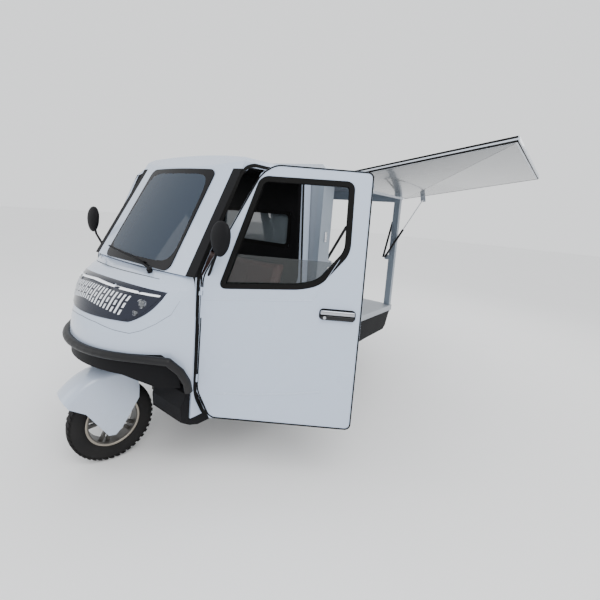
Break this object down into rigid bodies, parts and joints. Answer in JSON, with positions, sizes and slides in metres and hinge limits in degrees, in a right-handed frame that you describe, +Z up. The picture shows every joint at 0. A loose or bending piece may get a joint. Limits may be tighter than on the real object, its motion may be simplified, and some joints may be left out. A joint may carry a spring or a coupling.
{
  "type": "electric cargo tricycle",
  "caption": "Closed-cab electric cargo tricycle with a single steered front wheel, side-hinged cab doors and a cargo box whose sides and rear lift on gas struts",
  "frame": {"origin": "on the ground, on the vehicle's centre plane, midway between the front and rear axles", "axes": "+X forward along the vehicle, +Y to the vehicle's left, +Z up"},
  "size_m": [3.7759, 2.5069, 1.9951],
  "materials": {
    "body_white": "gloss",
    "panel_white": "gloss",
    "panel_grey": "satin",
    "box_steel": "satin",
    "tray_steel": "satin",
    "chassis_black": "satin",
    "axle_steel": "matte",
    "motor_alloy": "satin",
    "black_plastic": "matte",
    "tyre_rubber": "matte",
    "rim_black": "satin",
    "clear_glass": "clear",
    "lamp_lens": "gloss",
    "lamp_red": "gloss",
    "handle_chrome": "polished",
    "rod_chrome": "polished",
    "seat_vinyl": "satin",
    "plate_white": "satin"
  },
  "bodies": {
    "root": {"chassis": "chassis_black", "rear_axle": "axle_steel", "drive_motor": "motor_alloy", "rear_springs": "chassis_black", "battery_block": "black_plastic", "bulkhead": "body_white", "windscreen_frame": "body_white", "windscreen": "clear_glass", "roof": "body_white", "rear_wall": "body_white", "rear_window": "clear_glass", "cab_floor": "black_plastic", "footwell": "black_plastic", "nose": "body_white", "lamp_unit": "lamp_lens", "valance": "black_plastic", "bumper_rail": "chassis_black", "wiper": "black_plastic", "mirrors": "black_plastic", "dashboard": "black_plastic", "seat_box": "black_plastic", "seat_cushion": "seat_vinyl", "seat_back": "seat_vinyl", "tray": "tray_steel", "box_frame": "box_steel", "box_front_wall": "panel_grey", "box_roof": "panel_white", "skirts": "black_plastic", "tail_lamps": "lamp_red", "plate": "plate_white"},
    "steering": {"fork": "chassis_black", "mudguard": "body_white", "handlebar": "black_plastic"},
    "front_wheel": {"tyre_front": "tyre_rubber", "rim_front": "rim_black"},
    "rear_left_wheel": {"tyre_rear_left": "tyre_rubber", "rim_rear_left": "rim_black"},
    "rear_right_wheel": {"tyre_rear_right": "tyre_rubber", "rim_rear_right": "rim_black"},
    "left_door": {"door_left": "body_white", "door_glass_left": "clear_glass", "door_handle_left": "handle_chrome"},
    "right_door": {"door_right": "body_white", "door_glass_right": "clear_glass", "door_handle_right": "handle_chrome"},
    "left_panel": {"side_panel_left": "panel_white"},
    "right_panel": {"side_panel_right": "panel_white"},
    "tailgate": {"tailgate": "panel_white"},
    "left_strut_tubes": {"strut_tubes_side_left": "chassis_black"},
    "left_strut_rods": {"strut_rods_side_left": "rod_chrome"},
    "right_strut_tubes": {"strut_tubes_side_right": "chassis_black"},
    "right_strut_rods": {"strut_rods_side_right": "rod_chrome"},
    "tailgate_strut_tubes": {"strut_tubes_tailgate": "chassis_black"},
    "tailgate_strut_rods": {"strut_rods_tailgate": "rod_chrome"}
  },
  "joints": [
    {"name": "steering", "type": "hinge", "parent": "root", "child": "steering", "pos_m": [0.863, 0, 0.218], "axis": [-0.4226, 0, 0.9063], "range_deg": [-26, 54]},
    {"name": "front_wheel_turn", "type": "hinge", "parent": "steering", "child": "front_wheel", "pos_m": [0.90202, -0.00877, 0.21754], "axis": [0.2193, 0.9703, 0.1022], "continuous": true},
    {"name": "rear_left_wheel_turn", "type": "hinge", "parent": "root", "child": "rear_left_wheel", "pos_m": [-0.903, 0.438, 0.218], "axis": [0, 1, 0], "continuous": true},
    {"name": "rear_right_wheel_turn", "type": "hinge", "parent": "root", "child": "rear_right_wheel", "pos_m": [-0.903, -0.438, 0.218], "axis": [0, 1, 0], "continuous": true},
    {"name": "left_door_hinge", "type": "hinge", "parent": "root", "child": "left_door", "pos_m": [0.74, 0.515, 0.9], "axis": [0, 0, -1], "range_deg": [-55, 15]},
    {"name": "right_door_hinge", "type": "hinge", "parent": "root", "child": "right_door", "pos_m": [0.74, -0.515, 0.9], "axis": [0, 0, 1], "range_deg": [-20, 50]},
    {"name": "left_panel_hinge", "type": "hinge", "parent": "root", "child": "left_panel", "pos_m": [-0.85, 0.604, 1.685], "axis": [1, 0, 0], "range_deg": [-100.5, 0]},
    {"name": "right_panel_hinge", "type": "hinge", "parent": "root", "child": "right_panel", "pos_m": [-0.85, -0.604, 1.685], "axis": [-1, 0, 0], "range_deg": [0, 100.5]},
    {"name": "tailgate_hinge", "type": "hinge", "parent": "root", "child": "tailgate", "pos_m": [-1.545, 0, 1.74], "axis": [0, 1, 0], "range_deg": [-102, 0]},
    {"name": "left_strut_turn", "type": "hinge", "parent": "root", "child": "left_strut_tubes", "pos_m": [-0.92, 0.505, 1.105], "axis": [-1, 0, 0], "range_deg": [-21.25, 0.05]},
    {"name": "left_strut_slide", "type": "slide", "parent": "left_strut_tubes", "child": "left_strut_rods", "axis": [0, 0.4796, 0.8775], "range_m": [-0.271, 0.0005]},
    {"name": "right_strut_turn", "type": "hinge", "parent": "root", "child": "right_strut_tubes", "pos_m": [-0.92, -0.505, 1.105], "axis": [1, 0, 0], "range_deg": [-0.05, 21.25]},
    {"name": "right_strut_slide", "type": "slide", "parent": "right_strut_tubes", "child": "right_strut_rods", "axis": [0, -0.1299, 0.9915], "range_m": [-0.0005, 0.271]},
    {"name": "tailgate_strut_turn", "type": "hinge", "parent": "root", "child": "tailgate_strut_tubes", "pos_m": [-1.5, 0, 1.105], "axis": [0, -1, 0], "range_deg": [-22.94, 0.05]},
    {"name": "tailgate_strut_slide", "type": "slide", "parent": "tailgate_strut_tubes", "child": "tailgate_strut_rods", "axis": [-0.3781, 0, 0.9257], "range_m": [-0.2508, 0.0005]}
  ],
  "couplings": [
    {"joint": "left_strut_turn", "follows": "left_panel_hinge", "ratio": 0.2109},
    {"joint": "left_strut_slide", "follows": "left_panel_hinge", "m_per_rad": 0.15424},
    {"joint": "right_strut_turn", "follows": "right_panel_hinge", "ratio": 0.2109},
    {"joint": "right_strut_slide", "follows": "right_panel_hinge", "m_per_rad": 0.15424},
    {"joint": "tailgate_strut_turn", "follows": "tailgate_hinge", "ratio": 0.22437},
    {"joint": "tailgate_strut_slide", "follows": "tailgate_hinge", "m_per_rad": 0.14062}
  ]
}
